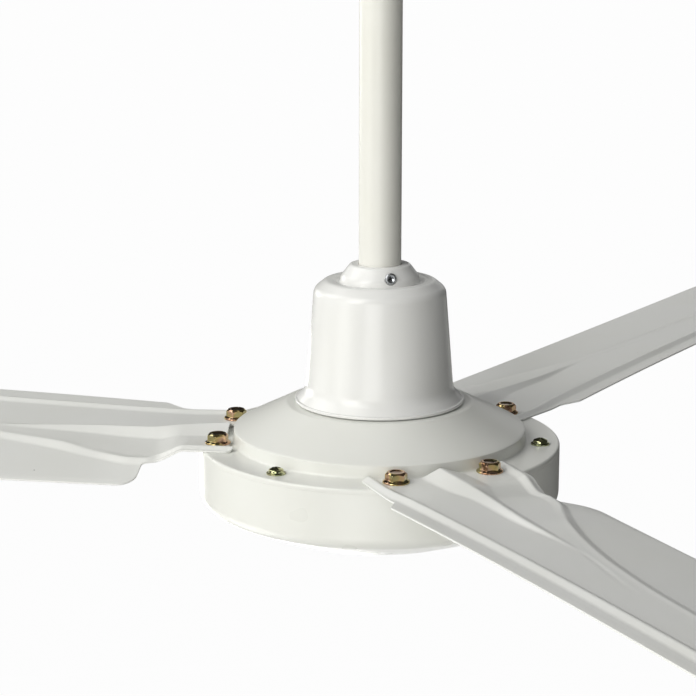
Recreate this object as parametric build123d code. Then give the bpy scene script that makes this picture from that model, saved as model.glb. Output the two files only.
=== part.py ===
from build123d import *
import math
import os

# Industrial three-blade ceiling fan on a downrod, millimetres, +Z up.
# Origin: the centre of the face that the hanger plate puts against the ceiling.
# The motor is measured from the plane of the drum's upper rim: heights called h are above it.

# Driving dimensions
ROD_R = 13.35
ROD_BORE_R = 10.45
ROD_LENGTH = 305.0
ROD_TOP_Z = -56.0
ROD_END_H = 58.0
RIM_Z = ROD_TOP_Z - ROD_LENGTH - ROD_END_H
DRUM_R = 115.0
RIM_EDGE = 2.0
LEDGE_R = 92.9
LEDGE_H = 7.9
BLADE_COUNT = 3
TIP_R = 711.0
BLADE_GAUGE = 1.2
BOLT_X = 99.0
BOLT_Y = 30.7
COVER_SCREW_R = 102.8
SHAFT_R = 8.5
BEARING_R = 20.0
BEARING_WIDTH = 12.0
UPPER_BEARING_H = 15.0
LOWER_BEARING_H = -50.0
CORE_TOP_H = -15.0
CORE_HEIGHT = 16.0
STATOR_R = 94.3
AIR_GAP = 0.4
SLOT_COUNT = 24
BAR_COUNT = 20
CANOPY_RIM_Z = -5.0
CANOPY_FOOT_H = 25.5
CANOPY_TOP_H = 113.8
HOOK_WIRE_R = 4.0
HOOK_BEND_R = 17.0
HOOK_EYE_Z = -29.0
ROLLER_CORE_R = 8.0
ROLLER_Z = HOOK_EYE_Z - HOOK_BEND_R + HOOK_WIRE_R + ROLLER_CORE_R
FIT = 0.05

BLADE_ANGLES = [60 + 360 / BLADE_COUNT * k for k in range(BLADE_COUNT)]
RIM = Pos(0, 0, RIM_Z)
parts = {}


# Shared shapes

def turned(corners):
    """A body of revolution from (radius, height, fillet) corners."""
    points = [(r, 0, z) for r, z, _ in corners]
    fillets = [f for _, _, f in corners]
    outline = FilletPolyline(*points, radius=fillets, close=True)
    return revolve(make_face(outline), Axis.Z, 360)


def ring(outer, inner, low, high):
    """A plain ring or tube between two heights."""
    middle = Pos(0, 0, (low + high) / 2)
    return middle * (Cylinder(outer, high - low) - Cylinder(inner, high - low + 1))


def rod(radius, low, high):
    """A solid round bar between two heights."""
    return Pos(0, 0, (low + high) / 2) * Cylinder(radius, high - low)


def block(x0, x1, y0, y1, z0, z1):
    """A box between two corners."""
    centre = Pos((x0 + x1) / 2, (y0 + y1) / 2, (z0 + z1) / 2)
    return centre * Box(x1 - x0, y1 - y0, z1 - z0)


def around(shape, angles):
    """Copies of a shape turned about Z to each angle."""
    return [Rot(0, 0, angle) * shape for angle in angles]


def hexagon(across_flats, low, high, bevel):
    """A hexagonal prism along Z whose upper corners are turned off."""
    corner_r = across_flats / math.sqrt(3)
    prism = Pos(0, 0, low) * extrude(RegularPolygon(corner_r, 6), high - low)
    cap = turned([(0, low - 1, 0), (corner_r + 1, low - 1, 0),
                  (corner_r + 1, high - bevel - 0.6, 0), (across_flats / 2 - 0.2, high, 0),
                  (0, high, 0)])
    return prism & cap


def nut(across_flats, height, bore_r):
    """A hexagon nut that stands on z = 0."""
    return hexagon(across_flats, 0, height, 1.0) - rod(bore_r, -1, height + 1)


def bolt(across_flats, head, shank_r, length, pin_hole_z=None):
    """A hexagon bolt: head above z = 0, shank below, with a cross hole for a split pin."""
    body = hexagon(across_flats, 0, head, 1.0) + rod(shank_r, -length, 0)
    if pin_hole_z is not None:
        body -= Pos(0, 0, pin_hole_z) * Rot(0, 90, 0) * Cylinder(1.05, 4 * shank_r)
    return body


def split_pin(reach):
    """A split pin along X: an eye at one end and two legs bent apart at the other."""
    body = Rot(0, 90, 0) * Cylinder(0.95, 2 * reach) + Pos(-reach - 1.6, 0, 0) * Torus(1.9, 0.75)
    for tilt in (55, 125):
        body += Pos(reach - 0.3, 0, 0) * Rot(0, tilt, 0) * Pos(0, 0, 2.0) * Box(1.3, 1.5, 4.4)
    return body


def group(solids):
    """Separate solids that share one node."""
    return Compound(children=list(solids))


# Ceiling side: plate, hook and its nut

PLATE_THICKNESS = 4.0
ANCHOR_X = 28.0
ANCHOR_HOLE_R = 3.5


def hanger_plate():
    """Pressed steel plate with rounded corners and two anchor holes."""
    plan = RectangleRounded(80, 36, 9)
    plate = Pos(0, 0, -PLATE_THICKNESS) * extrude(plan, PLATE_THICKNESS)
    plate = chamfer(plate.edges().group_by(Axis.Z)[0], 0.8)
    for x in (-ANCHOR_X, ANCHOR_X):
        plate -= Pos(x, 0, 0) * Cylinder(ANCHOR_HOLE_R, 20)
    return plate - Cylinder(HOOK_WIRE_R + FIT, 20)


def hanger_hook():
    """Round bar: a shank on the fan's axis, a slanted neck, then a half-round eye with an open tip."""
    eye_bottom = HOOK_EYE_Z - HOOK_BEND_R
    tip_z = HOOK_EYE_Z + 3
    neck = FilletPolyline((0, 0, -0.5), (0, 0, -13), (HOOK_BEND_R, 0, HOOK_EYE_Z + 5),
                          (HOOK_BEND_R, 0, HOOK_EYE_Z), radius=[6, 6])
    bend = ThreePointArc((HOOK_BEND_R, 0, HOOK_EYE_Z), (0, 0, eye_bottom),
                         (-HOOK_BEND_R, 0, HOOK_EYE_Z))
    tip = Line((-HOOK_BEND_R, 0, HOOK_EYE_Z), (-HOOK_BEND_R, 0, tip_z))
    path = Wire(neck.edges() + bend.edges() + tip.edges())
    bar = sweep(Plane.XY.offset(-0.5) * Circle(HOOK_WIRE_R), path=path)
    return bar + Pos(-HOOK_BEND_R, 0, tip_z) * Sphere(HOOK_WIRE_R - 0.01)


def hook_nut():
    """Nut that holds the plate against the hook's welded shank."""
    return Pos(0, 0, -PLATE_THICKNESS) * Rot(180, 0, 0) * nut(14, 6, HOOK_WIRE_R + FIT)


parts["hanger_plate"] = hanger_plate()
parts["hanger_hook"] = hanger_hook()
parts["hook_nut"] = hook_nut()

# Hanger: grooved roller, two cranked plates and their bolts

ROLLER_HALF = 11.0
ROLLER_R = 12.5
GROOVE_R = HOOK_WIRE_R + 0.3
PLATE_GAUGE = 3.0
UPPER_FACE_Y = ROLLER_HALF + 0.2
LOWER_FACE_Y = ROD_R + 0.3
ROLLER_BOLT_R = 4.0
TOP_BOLT_R = 3.0
TOP_BOLT_Z = ROD_TOP_Z - 7
NUT_HEIGHT = 5.5


def hanger_roller():
    """Rubber roller whose round groove sits on the hook; it turns on its bolt."""
    half = ROLLER_HALF
    lip = GROOVE_R + 1.4
    body = Rot(90, 0, 0) * turned([
        (ROLLER_BOLT_R + FIT, -half, 0), (ROLLER_R - 1, -half, 1.5), (ROLLER_R, -lip, 1.0),
        (ROLLER_CORE_R + 1.2, -GROOVE_R, 0.6), (ROLLER_CORE_R + 1.2, GROOVE_R, 0.6),
        (ROLLER_R, lip, 1.0), (ROLLER_R - 1, half, 1.5), (ROLLER_BOLT_R + FIT, half, 0)])
    groove = Rot(90, 0, 0) * Torus(ROLLER_CORE_R + HOOK_WIRE_R, GROOVE_R)
    return Pos(0, 0, ROLLER_Z) * (body - groove)


def shackle_plate():
    """One strap: narrow at the rod, wide at the roller, cranked inwards between them."""
    inner = [(LOWER_FACE_Y, TOP_BOLT_Z - 8), (LOWER_FACE_Y, ROD_TOP_Z + 1.5),
             (UPPER_FACE_Y, ROD_TOP_Z + 6.5), (UPPER_FACE_Y, ROLLER_Z + 12)]
    outer = [(y + PLATE_GAUGE, z) for y, z in reversed(inner)]
    side = make_face(Polyline(*[(0, y, z) for y, z in inner + outer], close=True))
    strap = extrude(side, 13, both=True, dir=(1, 0, 0))
    face = Polygon((-8, TOP_BOLT_Z - 8), (8, TOP_BOLT_Z - 8), (12, ROD_TOP_Z + 6.5),
                   (12, ROLLER_Z + 12), (-12, ROLLER_Z + 12), (-12, ROD_TOP_Z + 6.5), align=None)
    face = fillet([v for v in face.vertices() if v.Y < TOP_BOLT_Z], 7.5)
    face = fillet([v for v in face.vertices() if v.Y > ROLLER_Z + 11], 11)
    plan = extrude(Plane.XZ * face, 40, both=True)
    strap = strap & plan
    strap -= Pos(0, 0, ROLLER_Z) * Rot(90, 0, 0) * Cylinder(ROLLER_BOLT_R + FIT, 80)
    strap -= Pos(0, 0, TOP_BOLT_Z) * Rot(90, 0, 0) * Cylinder(TOP_BOLT_R + FIT, 80)
    return strap


def cross_fastener(across_flats, head, shank_r, seat_y, z):
    """Bolt along Y through both straps, with its nut and split pin."""
    stem = 2 * seat_y + 13
    pin_at = -(2 * seat_y + 9.0)
    lay = Pos(0, seat_y, z) * Rot(-90, 0, 0)
    screw = lay * bolt(across_flats, head, shank_r, stem, pin_at)
    hex_nut = Pos(0, -seat_y, z) * Rot(90, 0, 0) * nut(across_flats, NUT_HEIGHT, shank_r + FIT)
    pin = lay * Pos(0, 0, pin_at) * split_pin(shank_r + 1.6)
    return screw, hex_nut, pin


parts["hanger_roller"] = hanger_roller()
strap = shackle_plate()
parts["shackle_plates"] = group([strap, Rot(0, 0, 180) * strap])
screw, hex_nut, pin = cross_fastener(13, 5.3, ROLLER_BOLT_R, UPPER_FACE_Y + PLATE_GAUGE, ROLLER_Z)
parts["roller_bolt"] = screw
parts["roller_nut"] = hex_nut
parts["roller_split_pin"] = pin
screw, hex_nut, pin = cross_fastener(10, 4.0, TOP_BOLT_R, LOWER_FACE_Y + PLATE_GAUGE, TOP_BOLT_Z)
parts["rod_top_bolt"] = screw
parts["rod_top_nut"] = hex_nut
parts["rod_top_split_pin"] = pin

# Downrod and the socket that joins it to the motor shaft

COUPLING_R = 18.5
COUPLING_TOP_H = 98.0
COUPLING_BOLT_H = 84.0
GRUB_H = 70.0
SHAFT_TOP_H = 56.0
SHAFT_PIN_H = 44.0
BORE_R = 4.2


def downrod():
    """Steel tube with a cross hole for a bolt near each end."""
    low = RIM_Z + ROD_END_H
    tube = ring(ROD_R, ROD_BORE_R, low, ROD_TOP_Z)
    for z, r in ((TOP_BOLT_Z, TOP_BOLT_R), (RIM_Z + COUPLING_BOLT_H, ROLLER_BOLT_R)):
        tube -= Pos(0, 0, z) * Rot(90, 0, 0) * Cylinder(r + FIT, 60)
    return tube


def rod_coupling():
    """Cast socket: the shaft is pinned below, the rod is bolted above, wires pass the web."""
    body = turned([(SHAFT_R + FIT, 32, 0), (13.5, 32, 1.5), (13.5, 50, 3), (COUPLING_R, 58, 3),
                   (COUPLING_R, COUPLING_TOP_H, 1.5), (ROD_R + FIT, COUPLING_TOP_H, 0),
                   (ROD_R + FIT, ROD_END_H, 0), (6, ROD_END_H, 0), (6, SHAFT_TOP_H + 0.3, 0),
                   (SHAFT_R + FIT, SHAFT_TOP_H + 0.3, 0)])
    body -= Pos(0, 0, COUPLING_BOLT_H) * Rot(90, 0, 0) * Cylinder(ROLLER_BOLT_R + FIT, 60)
    body -= Pos(0, 0, GRUB_H) * Rot(0, 90, 0) * Cylinder(3 + FIT, 60)
    body -= Pos(0, 0, SHAFT_PIN_H) * Rot(0, 90, 0) * Cylinder(2.5 + FIT, 60)
    return body


def coupling_set_screws():
    """Two socket set screws that bear on the rod from opposite sides."""
    screw = Pos(ROD_R + 2.3, 0, GRUB_H) * Rot(0, 90, 0) * Cylinder(3, 4.5)
    socket = extrude(RegularPolygon(1.7, 6), 2.5)
    screw -= Pos(ROD_R + 2.3, 0, GRUB_H) * Rot(0, 90, 0) * socket
    return group([screw, Rot(0, 0, 180) * screw])


parts["downrod"] = downrod()
parts["rod_coupling"] = RIM * rod_coupling()
screw, hex_nut, pin = cross_fastener(13, 5.3, ROLLER_BOLT_R, COUPLING_R, RIM_Z + COUPLING_BOLT_H)
parts["coupling_bolt"] = screw
parts["coupling_nut"] = hex_nut
parts["coupling_split_pin"] = pin
parts["coupling_set_screws"] = RIM * coupling_set_screws()

# Canopies: one moulding, used upright over the motor and inverted at the ceiling

BEAD_R = 1.1
BEAD_CENTRE_R = 52.8
COLLAR_BORE_R = ROD_R + 0.35
SCREW_H = 108.3
SCREW_ANGLE = -66.5
SCREW_SEAT_R = 22.6


def canopy():
    """Bell with a rolled foot, a slight draft, a domed shoulder and a collar round the rod."""
    foot = CANOPY_FOOT_H + BEAD_R
    top = CANOPY_TOP_H
    outside = [(52.6, foot + 0.5, 0.2), (46.9, 34.0, 11), (41.7, 98.0, 6.5), (34.6, 103.7, 5),
               (29.5, 103.7, 3), (26.9, 101.9, 1.2), (25.4, 102.2, 0.6), (24.5, 106.4, 5),
               (18.8, top, 2.5), (COLLAR_BORE_R, top, 0.6)]
    inside = [(COLLAR_BORE_R, 99.7, 0.6), (27.5, 99.7, 2), (30.0, 101.4, 2), (33.8, 101.4, 3),
              (39.6, 96.4, 4.5), (44.7, 33.2, 9), (51.4, foot - 0.7, 0.2)]
    bead = Pos(BEAD_CENTRE_R, 0, foot) * (Rot(90, 0, 0) * Circle(BEAD_R))
    body = turned(outside + inside) + revolve(bead, Axis.Z, 360)
    lay = Rot(0, 0, SCREW_ANGLE) * Pos(0, 0, SCREW_H)
    hole = lay * Pos(20, 0, 0) * Rot(0, 90, 0) * Cylinder(2 + FIT, 30)
    seat = lay * Pos(SCREW_SEAT_R + 5, 0, 0) * Rot(0, 90, 0) * Cylinder(4.2, 10)
    return body - hole - seat


def canopy_screw():
    """Pan-head screw through the collar; its end bears on the rod."""
    head = turned([(0, 0, 0), (3.5, 0, 0), (3.5, 1.4, 0.8), (1.5, 2.3, 0.6), (0, 2.3, 0)])
    head -= Pos(0, 0, 2.3) * (Box(3.6, 0.8, 2) + Box(0.8, 3.6, 2))
    shank = rod(2, ROD_R - SCREW_SEAT_R + 0.05, 0)
    screw = Pos(SCREW_SEAT_R, 0, SCREW_H) * Rot(0, 90, 0) * (head + shank)
    return Rot(0, 0, SCREW_ANGLE) * screw


INVERTED = Pos(0, 0, CANOPY_RIM_Z + CANOPY_FOOT_H) * Rot(180, 0, 0)
parts["motor_canopy"] = RIM * canopy()
parts["motor_canopy_screw"] = RIM * canopy_screw()
parts["ceiling_canopy"] = INVERTED * canopy()
parts["ceiling_canopy_screw"] = INVERTED * canopy_screw()

# Run capacitor and terminal block on a clip round the coupling

CLIP_R = COUPLING_R + 0.1
TAB_X = 20.5


def electrical_clip():
    """Spring steel band with a tab on each side."""
    band = ring(CLIP_R + 1, CLIP_R, 90.5, 96.5)
    tab = block(CLIP_R + 0.3, TAB_X, -10, 10, 60, 96.5) - rod(CLIP_R, 50, 100)
    other_tab = Rot(0, 0, 180) * tab
    return band + tab + other_tab


def capacitor():
    """Flat moulded run capacitor with two blade terminals on its lower end."""
    case = block(TAB_X, TAB_X + 13, -13, 13, 58, 93)
    case = fillet(case.edges().filter_by(Axis.Z), 3)
    for y in (-6, 6):
        case += block(TAB_X + 6, TAB_X + 6.8, y - 2.4, y + 2.4, 51, 58)
    return case


def terminal_block():
    """Three-way screw terminal strip with barrier walls and open wire entries."""
    case = block(-TAB_X - 12, -TAB_X, -15, 15, 64, 86)
    for y in (-9.5, 0, 9.5):
        case -= block(-TAB_X - 13, -TAB_X - 5, y - 3.6, y + 3.6, 68, 82)
        case += Pos(-TAB_X - 5.5, y, 75) * Rot(0, 90, 0) * Cylinder(2.6, 3)
        case -= Pos(-TAB_X - 7.5, y, 75) * Box(2, 5.4, 0.9)
    return case


parts["capacitor_clip"] = RIM * electrical_clip()
parts["capacitor"] = RIM * capacitor()
parts["terminal_block"] = RIM * terminal_block()

# Shaft, stator and winding: the part of the motor that stands still

HUB_R = 34.0
SHOULDER_R = 10.2
CORE_LOW_H = CORE_TOP_H - CORE_HEIGHT


def motor_shaft():
    """Hollow ground shaft, thicker between the bearings, with a side exit for the wires."""
    body = turned([(0, LOWER_BEARING_H - 3, 0), (SHAFT_R, LOWER_BEARING_H - 3, 0.8),
                   (SHAFT_R, LOWER_BEARING_H + BEARING_WIDTH, 0),
                   (SHOULDER_R, LOWER_BEARING_H + BEARING_WIDTH, 0), (SHOULDER_R, UPPER_BEARING_H, 0),
                   (SHAFT_R, UPPER_BEARING_H, 0), (SHAFT_R, SHAFT_TOP_H, 0.8), (0, SHAFT_TOP_H, 0)])
    body -= rod(BORE_R, -8, SHAFT_TOP_H + 1)
    body -= Pos(0, -8, -4) * Box(5, 16, 7)
    body -= Pos(0, 0, SHAFT_PIN_H) * Rot(0, 90, 0) * Cylinder(2.5 + FIT, 40)
    groove_low = UPPER_BEARING_H + BEARING_WIDTH + 0.1
    return body - ring(SHAFT_R + 2, SHAFT_R - 0.6, groove_low, groove_low + 1.3)


def shaft_circlip():
    """Spring ring in the shaft's groove over the upper bearing."""
    low = UPPER_BEARING_H + BEARING_WIDTH + 0.15
    body = ring(SHAFT_R + 2.2, SHAFT_R - 0.5, low, low + 1.2)
    lugs = [Pos(SHAFT_R + 2.2, y, low + 0.6) * Cylinder(2, 1.2) for y in (-3.2, 3.2)]
    body = body + lugs[0] + lugs[1] - rod(SHAFT_R - 0.5, low - 1, low + 2)
    return body - block(0, 20, -1.6, 1.6, low - 1, low + 2)


def stator_hub():
    """Cast hub keyed on the shaft: sleeve, web with holes, and the rim inside the core."""
    body = turned([(SHOULDER_R + FIT, -36, 0), (15, -36, 1), (15, -25.5, 2), (30, -25.5, 2),
                   (30, CORE_LOW_H, 0), (HUB_R - FIT, CORE_LOW_H, 0), (HUB_R - FIT, CORE_TOP_H, 0),
                   (30, CORE_TOP_H, 0), (30, -20.5, 2), (15, -20.5, 2), (15, 13, 1),
                   (SHOULDER_R + FIT, 13, 0)])
    for hole in around(Pos(22.5, 0, -23) * Cylinder(4, 12), range(0, 360, 60)):
        body -= hole
    return body - block(-2.5, 2.5, -30, 0, -8, 20)


def stator_core():
    """Laminated core: teeth on its outside, with slots that narrow at the air gap."""
    body = ring(STATOR_R, HUB_R, CORE_LOW_H, CORE_TOP_H)
    mid = (CORE_LOW_H + CORE_TOP_H) / 2
    slot = Pos(76, 0, mid) * Box(28, 8, CORE_HEIGHT + 2)
    mouth = Pos(93, 0, mid) * Box(8, 2.6, CORE_HEIGHT + 2)
    cutter = slot + mouth
    for tool in around(cutter, [360 / SLOT_COUNT * k for k in range(SLOT_COUNT)]):
        body -= tool
    return body


def stator_winding():
    """Coil sides in the slots, gathered into a rounded end winding above and below."""
    low, high = CORE_LOW_H, CORE_TOP_H
    upper = turned([(64, high + 0.1, 0), (88, high + 0.1, 0), (88, high + 9, 4), (64, high + 9, 4)])
    lower = turned([(64, low - 0.1, 0), (88, low - 0.1, 0), (88, low - 8, 4), (64, low - 8, 4)])
    side = block(64, 88, -3.6, 3.6, low - 1, high + 1)
    body = upper + lower
    for coil_side in around(side, [360 / SLOT_COUNT * k for k in range(SLOT_COUNT)]):
        body += coil_side
    return body


parts["motor_shaft"] = RIM * motor_shaft()
parts["shaft_pin"] = RIM * Pos(0, 0, SHAFT_PIN_H) * Rot(0, 90, 0) * Cylinder(2.5, 26)
parts["shaft_circlip"] = RIM * shaft_circlip()
parts["stator_hub"] = RIM * stator_hub()
parts["stator_core"] = RIM * stator_core()
parts["stator_winding"] = RIM * stator_winding()

# Two deep-groove ball bearings, 17 x 40 x 12

PITCH_R = 14.25
BALL_R = 3.25
GROOVE_DEPTH_R = 3.375
BALL_COUNT = 8
INNER_LAND_R = 12.3
OUTER_LAND_R = 16.2


def bearing(low):
    """Inner ring, outer ring, balls and cage of one bearing that stands on a height."""
    mid = low + BEARING_WIDTH / 2
    high = low + BEARING_WIDTH
    track = Pos(0, 0, mid) * Torus(PITCH_R, GROOVE_DEPTH_R)
    inner = turned([(SHAFT_R + FIT, low, 0.5), (INNER_LAND_R, low, 0.4), (INNER_LAND_R, high, 0.4),
                    (SHAFT_R + FIT, high, 0.5)]) - track
    outer = turned([(OUTER_LAND_R, low, 0.4), (BEARING_R, low, 0.8), (BEARING_R, high, 0.8),
                    (OUTER_LAND_R, high, 0.4)]) - track
    angles = [360 / BALL_COUNT * k for k in range(BALL_COUNT)]
    balls = around(Pos(PITCH_R, 0, mid) * Sphere(BALL_R), angles)
    cage = ring(PITCH_R + 0.7, PITCH_R - 0.7, mid - 4, mid + 4)
    for pocket in around(Pos(PITCH_R, 0, mid) * Rot(0, 90, 0) * Cylinder(BALL_R + 0.15, 6), angles):
        cage -= pocket
    return inner, outer, group(balls), cage


for name, height in (("upper", UPPER_BEARING_H), ("lower", LOWER_BEARING_H)):
    inner, outer, balls, cage = bearing(height)
    parts[name + "_bearing_inner_ring"] = RIM * inner
    parts[name + "_bearing_outer_ring"] = RIM * outer
    parts[name + "_bearing_balls"] = RIM * balls
    parts[name + "_bearing_cage"] = RIM * cage

# Turning housing: upper cover, lower cover and the rotor ring inside them

SEAM_H = -3.2
WALL_INNER_R = DRUM_R - 2.8
BOSS_DEPTH = 8.6
COVER_SCREW_ANGLES = [0, 120, 240]


def blade_bolt_places():
    """Plan positions of the six blade bolts."""
    places = []
    for angle in BLADE_ANGLES:
        for side in (-1, 1):
            places.append(Rot(0, 0, angle) * Pos(BOLT_X, side * BOLT_Y, 0))
    return places


def cover_screw_places():
    """Plan positions of the cover screws, midway between the blades."""
    return [Rot(0, 0, angle) * Pos(COVER_SCREW_R, 0, 0) for angle in COVER_SCREW_ANGLES]


def upper_cover():
    """Cast cover: bearing neck, flat crown, long cone, stepped ledge and bolting rim."""
    top = UPPER_BEARING_H + BEARING_WIDTH
    seat = UPPER_BEARING_H - 1.5
    body = turned([
        (14.5, top + 0.4, 0), (14.5, top + 3.2, 0.8), (24.6, top + 3.2, 1.2), (25.4, 25.0, 1.5),
        (59.2, 25.0, 5.0), (LEDGE_R - 1.1, LEDGE_H + 0.8, 0.6), (LEDGE_R, LEDGE_H, 0.5),
        (LEDGE_R + 0.5, 0, 1.6), (DRUM_R - 0.1, 0, RIM_EDGE), (DRUM_R, SEAM_H, 0),
        (90.2, SEAM_H, 1), (89.4, 6.4, 1), (60.0, 21.5, 8), (25.4, 21.5, 2), (24.6, seat, 1),
        (BEARING_R + FIT, seat, 0.5), (BEARING_R + FIT, top + 0.4, 0)])
    for place in blade_bolt_places():
        body -= place * Cylinder(4.0 + FIT, 20)
    for place in cover_screw_places():
        body -= place * Cylinder(2.5 + FIT, 20)
    return body


def lower_cover():
    """Cast drum: straight wall, rounded heel, shallow bowl, bearing boss and nine screw bosses."""
    seat = LOWER_BEARING_H - 0.8
    wall = WALL_INNER_R
    body = turned([
        (DRUM_R, SEAM_H - FIT, 0.15), (DRUM_R, -36.4, 9), (92.0, -46.7, 300), (66.0, -56.6, 12),
        (52.0, -58.5, 12), (0, -58.5, 0), (0, -55.5, 0), (14, -55.5, 1), (14, seat, 0),
        (BEARING_R + FIT, seat, 0), (BEARING_R + FIT, LOWER_BEARING_H + BEARING_WIDTH, 0.4),
        (25.5, LOWER_BEARING_H + BEARING_WIDTH, 1), (26.5, -55.6, 2), (52.3, -55.6, 10),
        (66.6, -53.6, 10), (91.6, -44.1, 200), (wall, -34.9, 6.2), (wall, SEAM_H - FIT, 0.5)])
    boss_mid = SEAM_H - FIT - BOSS_DEPTH / 2
    inside = Pos(0, 0, boss_mid) * Cylinder(DRUM_R - 1, BOSS_DEPTH)
    bosses = None
    for radius, places in ((8.0, blade_bolt_places()), (6.5, cover_screw_places())):
        for place in places:
            boss = place * Pos(0, 0, boss_mid) * Cylinder(radius, BOSS_DEPTH)
            web = place * Pos(6, 0, boss_mid) * Box(12, 2 * radius, BOSS_DEPTH)
            piece = (boss + web) & inside
            bosses = piece if bosses is None else bosses + piece
    body += bosses
    for place in blade_bolt_places():
        body -= place * Pos(0, 0, boss_mid) * Cylinder(4.0 + FIT, BOSS_DEPTH + 1)
    for place in cover_screw_places():
        body -= place * Pos(0, 0, boss_mid) * Cylinder(2.5 + FIT, BOSS_DEPTH + 1)
    return body


def wave_washer():
    """Preload ring under the lower bearing."""
    return ring(19.6, 16.4, LOWER_BEARING_H - 0.75, LOWER_BEARING_H - 0.05)


def rotor_core():
    """Laminated ring round the stator, with a window for each bar of the cage."""
    inner = STATOR_R + AIR_GAP
    body = ring(WALL_INNER_R - 0.1, inner, CORE_LOW_H, CORE_TOP_H)
    mid = (CORE_LOW_H + CORE_TOP_H) / 2
    window = Pos(100.5, 0, mid) * Box(7.2, 5.2, CORE_HEIGHT + 2)
    for tool in around(window, [360 / BAR_COUNT * (k + 0.5) for k in range(BAR_COUNT)]):
        body -= tool
    return body


def rotor_cage():
    """Cast aluminium cage: an end ring above and below, joined by bars through the core."""
    low, high = CORE_LOW_H, CORE_TOP_H
    body = ring(106, 95.5, high + 0.05, high + 2.9) + ring(106, 95.5, low - 2.5, low - 0.05)
    bar = block(97, 104, -2.5, 2.5, low - 1, high + 1)
    for piece in around(bar, [360 / BAR_COUNT * (k + 0.5) for k in range(BAR_COUNT)]):
        body += piece
    return body


parts["upper_cover"] = RIM * upper_cover()
parts["lower_cover"] = RIM * lower_cover()
parts["wave_washer"] = RIM * wave_washer()
parts["rotor_core"] = RIM * rotor_core()
parts["rotor_cage"] = RIM * rotor_cage()

# Blades: one pressed sheet each, bolted to the rim by a flat root

ROOT_HALF = 48.8
ROOT_ARC_R = 97.3
ROOT_END_R = 4.5
PAD_H = BLADE_GAUGE
STATIONS = [78, 108, 118, 126, 134, 141, 149, 172, 187, 201, 229, 252, 287, 350, TIP_R + 2]

# Each feature line of the sheet runs outward as (distance from the axis, offset, height).
# Offsets are positive on the trailing side; the leading edge is the higher one.
FEATURE_LINES = {
    "leading_edge": [
        (78, -60, 1.2), (126, -57.5, 1.9), (141, -56.8, 3.0), (350, -49.6, 13.2), (713, -38, 23.0)],
    "bead_outer_foot": [
        (78, -48.3, 1.2), (108, -48.1, 1.2), (126, -46.9, 1.2), (141, -45.2, 1.9),
        (350, -38.6, 11.8), (713, -28, 21.5)],
    "bead_crest": [
        (78, -43.8, 3.2), (108, -43.6, 3.2), (126, -42.0, 3.3), (141, -39.8, 3.9),
        (350, -33.2, 13.4), (713, -22, 22.9)],
    "bead_inner_foot": [
        (78, -39.5, 1.2), (108, -39.3, 1.2), (126, -36.5, 1.2), (141, -35, 1.8),
        (350, -28.6, 11.2), (713, -17, 20.6)],
    "rib_leading_foot": [
        (78, -15, 1.2), (126, -10, 1.2), (149, -3, 0.8), (187, 0, 0.7), (252, 6, 2.5),
        (350, -8, 8.3), (713, -13, 20.0)],
    "rib_crest": [
        (78, -3.5, 7.0), (126, 2, 4.9), (149, 5, 3.4), (187, 4.5, 3.2), (252, 8, 2.45),
        (350, -5, 7.9), (713, -10, 19.6)],
    "rib_trailing_foot": [
        (78, 11, 1.2), (126, 17, 1.2), (141, 15.5, -2.0), (149, 15, -2.2), (187, 12.5, -0.6),
        (252, 10, 2.1), (350, -2, 7.5), (713, -7, 19.3)],
    "step_inner_foot": [
        (78, 39.4, 1.2), (118, 39.4, 1.2), (126, 39.9, -1.3), (134, 40.6, -4.2), (141, 45, -5.4),
        (149, 45, -5.4), (172, 37.6, -4.2), (201, 26.8, -1.2), (229, 20, 0.1), (287, 9, 3.5),
        (350, 3, 6.8), (713, -3, 19.0)],
    "step_crest": [
        (78, 44.5, 3.4), (118, 44.5, 3.4), (126, 44.8, 0.5), (134, 45.7, -3.0), (141, 50.2, -4.5),
        (149, 50.0, -4.8), (172, 42.6, -4.6), (201, 31.4, -1.4), (229, 24.1, -0.2), (287, 13, 3.2),
        (350, 7, 6.5), (713, 1, 18.7)],
    "step_outer_foot": [
        (78, 48.8, 1.2), (118, 48.8, 1.2), (126, 49.2, -2.3), (134, 50.6, -5.9), (141, 54.8, -7.5),
        (149, 55.2, -8.0), (172, 48.2, -7.2), (201, 38.2, -5.0), (229, 30.1, -3.1), (287, 19, 0.6),
        (350, 13, 4.2), (713, 7, 16.9)],
    "roll_start": [
        (78, 60, 1.2), (118, 60, 1.2), (126, 62, -4.0), (134, 68, -9.5), (141, 71.5, -12.4),
        (713, 90.4, 2.0)],
    "trailing_edge": [
        (78, 66, 1.2), (118, 66, 1.2), (126, 68, -5.0), (134, 73, -10.7), (141, 78.5, -14.4),
        (713, 97.4, 0.0)],
}


def line_at(line, reach):
    """Offset and height of a feature line at a distance from the axis."""
    for (u0, v0, w0), (u1, v1, w1) in zip(line, line[1:]):
        if u0 <= reach <= u1:
            t = (reach - u0) / (u1 - u0)
            return v0 + t * (v1 - v0), w0 + t * (w1 - w0)
    raise ValueError(reach)


def sheet_section(reach):
    """Closed cross-section of the pressed sheet at a distance from the axis."""
    top = [line_at(line, reach) for line in FEATURE_LINES.values()]
    under = [(v, w - BLADE_GAUGE) for v, w in reversed(top)]
    return Face(Wire(Polyline(*[(reach, v, w) for v, w in top + under], close=True).edges()))


def blade_outline():
    """Plan of the blade: hollowed root with round ends, waist, strip and panel corners, tip."""
    edge = FilletPolyline(
        (70, -ROOT_HALF), (138.5, -ROOT_HALF), (151, -56.4), (TIP_R, -38.2), (TIP_R, 97.2),
        (143, 78.2), (143, 54.4), (134, 51.2), (118, ROOT_HALF + 1), (70, ROOT_HALF + 1),
        radius=[0, 6, 5, 26, 40, 15, 2, 8, 10, 0], close=True)
    plan = make_face(edge) - Circle(ROOT_ARC_R)
    root_ends = [v for v in plan.vertices() if abs(v.Y) > ROOT_HALF - 1 and v.X < 90]
    return extrude(fillet(root_ends, ROOT_END_R), 60, both=True)


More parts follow.
